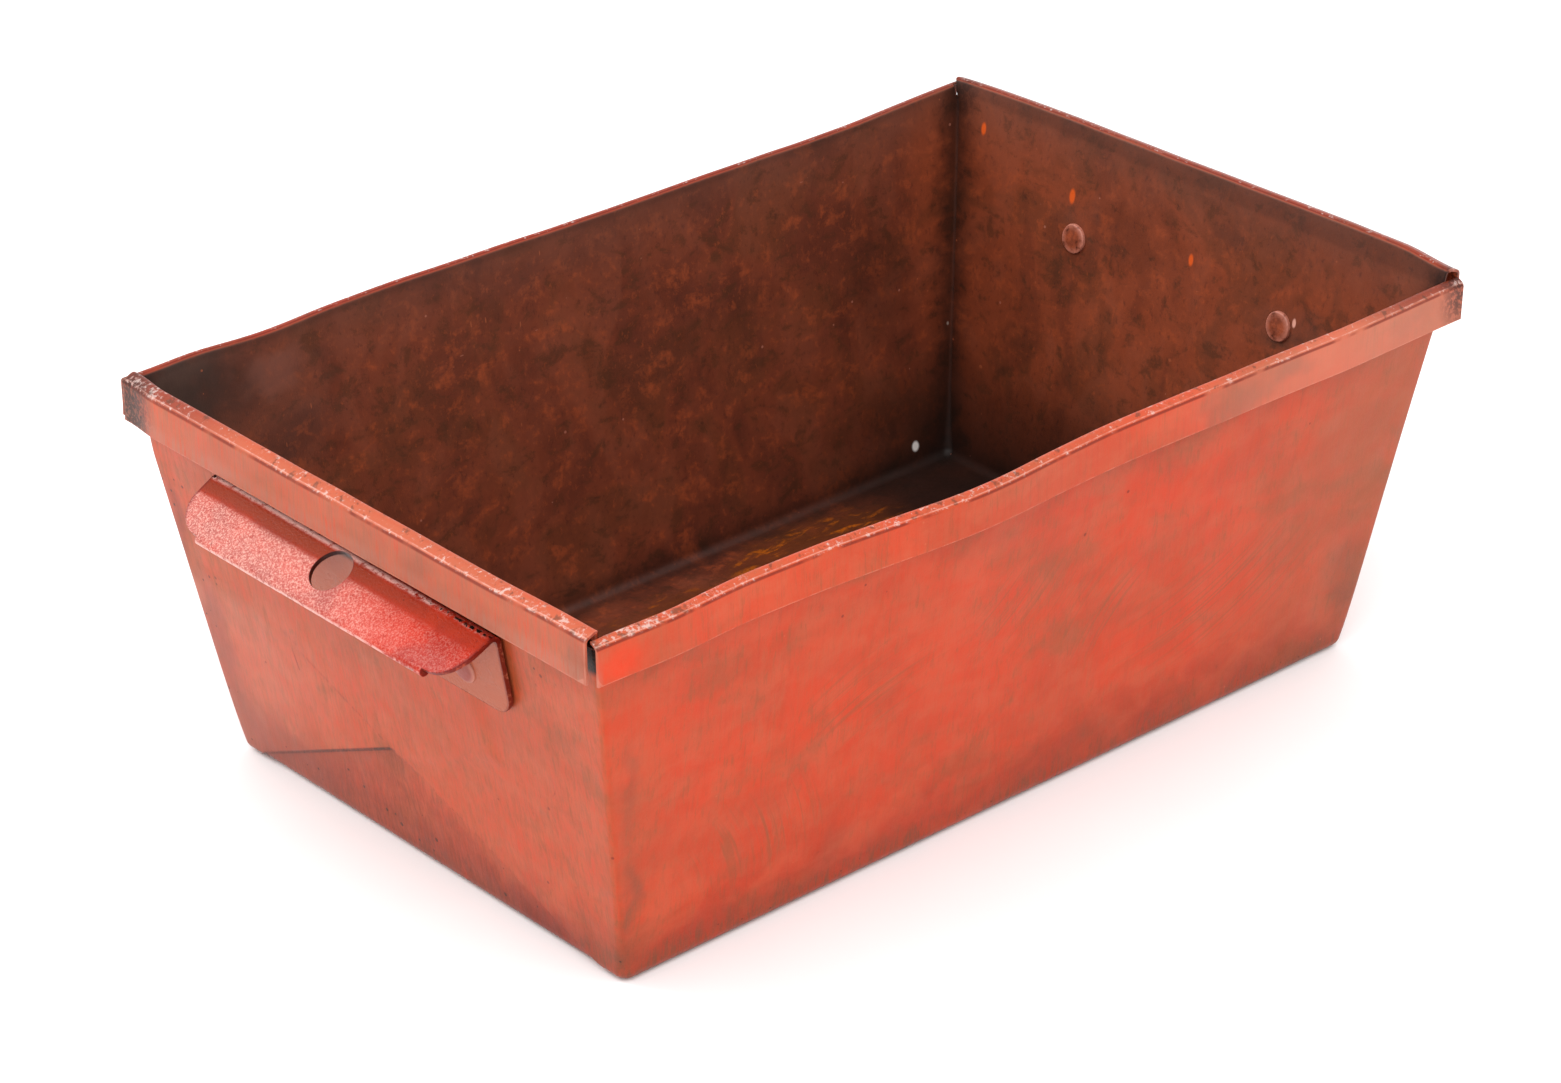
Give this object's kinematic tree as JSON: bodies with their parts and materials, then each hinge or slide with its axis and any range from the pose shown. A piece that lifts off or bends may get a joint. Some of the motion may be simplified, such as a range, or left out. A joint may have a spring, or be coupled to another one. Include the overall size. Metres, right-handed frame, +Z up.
{
  "type": "tote pan",
  "caption": "Tapered nesting tote pan folded from red-painted sheet steel, with turned-down rims, lapped end flaps and a riveted grab handle with a hook hole at each end.",
  "frame": {"origin": "middle of the underside of the floor, on the surface that the pan stands on", "axes": "+X runs along the pan to its right-hand end handle, -Y is the front long side, +Z is up through the open top"},
  "size_m": [0.3408, 0.2064, 0.116],
  "materials": {
    "pan_paint": "worn semi-gloss enamel",
    "handle_paint": "glossy enamel with orange peel",
    "rivet_steel": "painted over"
  },
  "bodies": {
    "root": {"pan": "pan_paint", "left_handle": "handle_paint", "right_handle": "handle_paint", "left_front_rivet": "rivet_steel", "left_rear_rivet": "rivet_steel", "right_front_rivet": "rivet_steel", "right_rear_rivet": "rivet_steel"}
  },
  "joints": []
}
